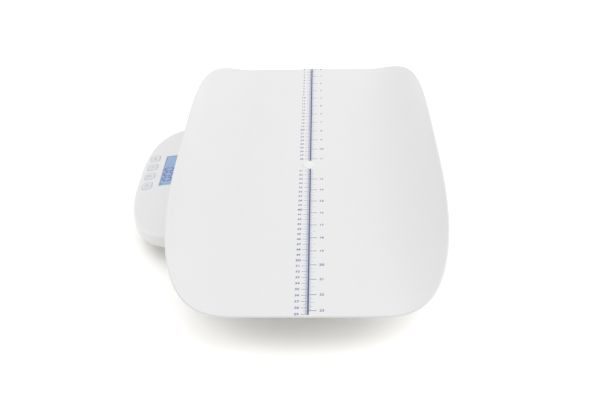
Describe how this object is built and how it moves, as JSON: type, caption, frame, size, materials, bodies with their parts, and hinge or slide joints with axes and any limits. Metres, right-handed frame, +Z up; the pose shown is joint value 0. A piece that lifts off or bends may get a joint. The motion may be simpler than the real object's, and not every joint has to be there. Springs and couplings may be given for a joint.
{
  "type": "digital baby weighing scale",
  "caption": "Digital baby weighing scale: curved open-ended tray with a printed ruler on a load cell base, with a lit display and keys on a side console.",
  "frame": {"origin": "on the floor, at the centre of the footprint of tray and console", "axes": "+Y along the tray to its head end, +Z up, -X to the display console"},
  "size_m": [0.4149, 0.5958, 0.1093],
  "materials": {
    "tray_abs": "moulded, satin gloss",
    "shell_abs": "moulded, satin",
    "base_abs": "moulded, fine texture",
    "key_abs": "moulded, printed",
    "screw_steel": "zinc plated",
    "spring_steel": "nickel plated",
    "carrier_aluminium": "milled",
    "foot_rubber": "moulded",
    "mat_silicone": "moulded",
    "lead_pvc": "extruded",
    "battery_can": "printed sleeve",
    "window_acrylic": "clear, polished",
    "lcd_blue": "lit light blue",
    "guide_acrylic": "clear moulded",
    "board_fibreglass": "solder mask",
    "black_epoxy": "moulded"
  },
  "bodies": {
    "base": {"console_upper_shell": "shell_abs", "console_lower_shell": "shell_abs", "base_cover": "shell_abs", "base_pan": "base_abs", "display_frame": "base_abs", "board_sockets": "base_abs", "cell_base_screws": "screw_steel", "overload_stops": "screw_steel", "base_screws": "screw_steel", "console_screws": "screw_steel", "neck_screws": "screw_steel", "board_screws": "screw_steel", "battery_springs": "spring_steel", "battery_plates": "spring_steel", "load_cell": "carrier_aluminium", "rubber_feet": "foot_rubber", "key_mat": "mat_silicone", "load_cell_lead": "lead_pvc", "battery_lead": "lead_pvc", "batteries": "battery_can", "display_window": "window_acrylic", "lcd_panel": "lcd_blue", "light_guide": "guide_acrylic", "circuit_board": "board_fibreglass", "board_parts": "black_epoxy", "buzzer": "black_epoxy"},
    "weighing_tray": {"tray": "tray_abs", "tray_plug": "tray_abs", "tray_screw": "screw_steel", "carrier_plate": "carrier_aluminium", "carrier_posts": "carrier_aluminium", "post_screws": "screw_steel", "post_pads": "foot_rubber", "cell_spacer": "carrier_aluminium", "carrier_screws": "screw_steel"},
    "battery_door": {"battery_door": "base_abs"},
    "key_power": {"key_power": "key_abs"},
    "key_zero": {"key_zero": "key_abs"},
    "key_hold": {"key_hold": "key_abs"},
    "key_unit": {"key_unit": "key_abs"}
  },
  "joints": [
    {"name": "tray_sink", "type": "slide", "parent": "base", "child": "weighing_tray", "axis": [0, 0, -1], "range_m": [0, 0.0008], "stiffness_N_per_m": 250000, "deforming": ["load_cell"]},
    {"name": "door_hinge", "type": "hinge", "parent": "base", "child": "battery_door", "pos_m": [0.0915, 0.0288, 0.0072], "axis": [1, 0, 0], "range_deg": [0, 90]},
    {"name": "key_power_press", "type": "slide", "parent": "base", "child": "key_power", "axis": [0.1392, 0, -0.9903], "range_m": [0, 0.0006], "stiffness_N_per_m": 3000, "deforming": ["key_mat"]},
    {"name": "key_zero_press", "type": "slide", "parent": "base", "child": "key_zero", "axis": [0.1392, 0, -0.9903], "range_m": [0, 0.0006], "stiffness_N_per_m": 3000, "deforming": ["key_mat"]},
    {"name": "key_hold_press", "type": "slide", "parent": "base", "child": "key_hold", "axis": [0.1392, 0, -0.9903], "range_m": [0, 0.0006], "stiffness_N_per_m": 3000, "deforming": ["key_mat"]},
    {"name": "key_unit_press", "type": "slide", "parent": "base", "child": "key_unit", "axis": [0.1392, 0, -0.9903], "range_m": [0, 0.0006], "stiffness_N_per_m": 3000, "deforming": ["key_mat"]}
  ]
}
